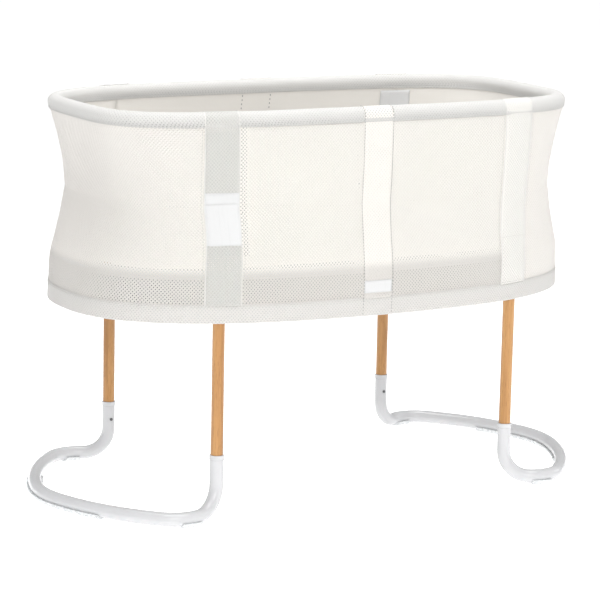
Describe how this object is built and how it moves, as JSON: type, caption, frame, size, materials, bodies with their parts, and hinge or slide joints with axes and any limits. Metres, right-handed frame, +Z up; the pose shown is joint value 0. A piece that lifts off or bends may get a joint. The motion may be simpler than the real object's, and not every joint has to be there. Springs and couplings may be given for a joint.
{
  "type": "bassinet on stand",
  "caption": "Oval mesh-walled bassinet basket with a padded rim on four wooden dowel legs that plug into bent white tube feet.",
  "frame": {"origin": "on the floor, at the middle of the stand", "axes": "+X along the bassinet to its right end, +Y to its back, +Z up"},
  "size_m": [0.999, 0.5177, 0.66],
  "materials": {
    "white_steel": "gloss white powder coat on bent steel tube",
    "beech": "clear lacquered honey beech dowel",
    "screw_steel": "plain steel",
    "glide_plastic": "milky translucent plastic",
    "frame_steel": "white powder coat",
    "foam": "closed-cell foam",
    "mesh_fabric": "off-white knitted spacer mesh",
    "liner_fabric": "ivory woven liner",
    "stiffener_plastic": "flexible plastic strip",
    "label_fabric": "blank white woven label",
    "board_wood": "thin fibreboard",
    "mattress_foam": "foam in a quilted cover",
    "sheet_fabric": "white cotton jersey"
  },
  "bodies": {
    "stand": {"foot_left": "white_steel", "foot_right": "white_steel", "leg_collars": "white_steel", "leg_front_left": "beech", "leg_front_right": "beech", "leg_back_left": "beech", "leg_back_right": "beech", "lock_screws": "screw_steel", "end_glide_left": "glide_plastic", "end_glide_right": "glide_plastic", "corner_glides": "glide_plastic"},
    "basket": {"base_panel": "mesh_fabric", "centre_strip_back": "mesh_fabric", "centre_strip_front": "mesh_fabric", "corner_connector_back_left": "frame_steel", "corner_connector_back_right": "frame_steel", "corner_connector_front_left": "frame_steel", "corner_connector_front_right": "frame_steel", "corner_strip_back_left": "mesh_fabric", "corner_strip_back_right": "mesh_fabric", "corner_strip_front_left": "mesh_fabric", "corner_strip_front_right": "mesh_fabric", "cross_rail_centre": "frame_steel", "cross_rail_left": "frame_steel", "cross_rail_right": "frame_steel", "hem_band": "mesh_fabric", "hem_stiffener": "stiffener_plastic", "hoop_buttons": "screw_steel", "hoop_ferrule_back": "frame_steel", "hoop_ferrule_front": "frame_steel", "inner_label": "label_fabric", "liner_back": "liner_fabric", "liner_floor": "liner_fabric", "liner_front": "liner_fabric", "liner_left": "liner_fabric", "liner_right": "liner_fabric", "outer_cover_back": "mesh_fabric", "outer_cover_front": "mesh_fabric", "outer_cover_left": "mesh_fabric", "outer_cover_right": "mesh_fabric", "platform_bow_left": "frame_steel", "platform_bow_right": "frame_steel", "platform_rail_back": "frame_steel", "platform_rail_front": "frame_steel", "pocket_label": "label_fabric", "rim_cover_left": "mesh_fabric", "rim_cover_right": "mesh_fabric", "rim_foam_left": "foam", "rim_foam_right": "foam", "rim_hoop_left": "frame_steel", "rim_hoop_right": "frame_steel", "sewn_tag": "label_fabric", "upright_back_left": "frame_steel", "upright_back_right": "frame_steel", "upright_front_left": "frame_steel", "upright_front_right": "frame_steel"},
    "mattress_board": {"mattress_board": "board_wood"},
    "mattress": {"mattress": "mattress_foam", "fitted_sheet": "sheet_fabric"}
  },
  "joints": [
    {"name": "basket_lift", "type": "slide", "parent": "stand", "child": "basket", "axis": [0, 0, 1], "range_m": [0, 0.06]},
    {"name": "board_lift", "type": "slide", "parent": "basket", "child": "mattress_board", "axis": [0, 0, 1], "range_m": [0, 0.27]},
    {"name": "mattress_lift", "type": "slide", "parent": "mattress_board", "child": "mattress", "axis": [0, 0, 1], "range_m": [0, 0.27]}
  ]
}
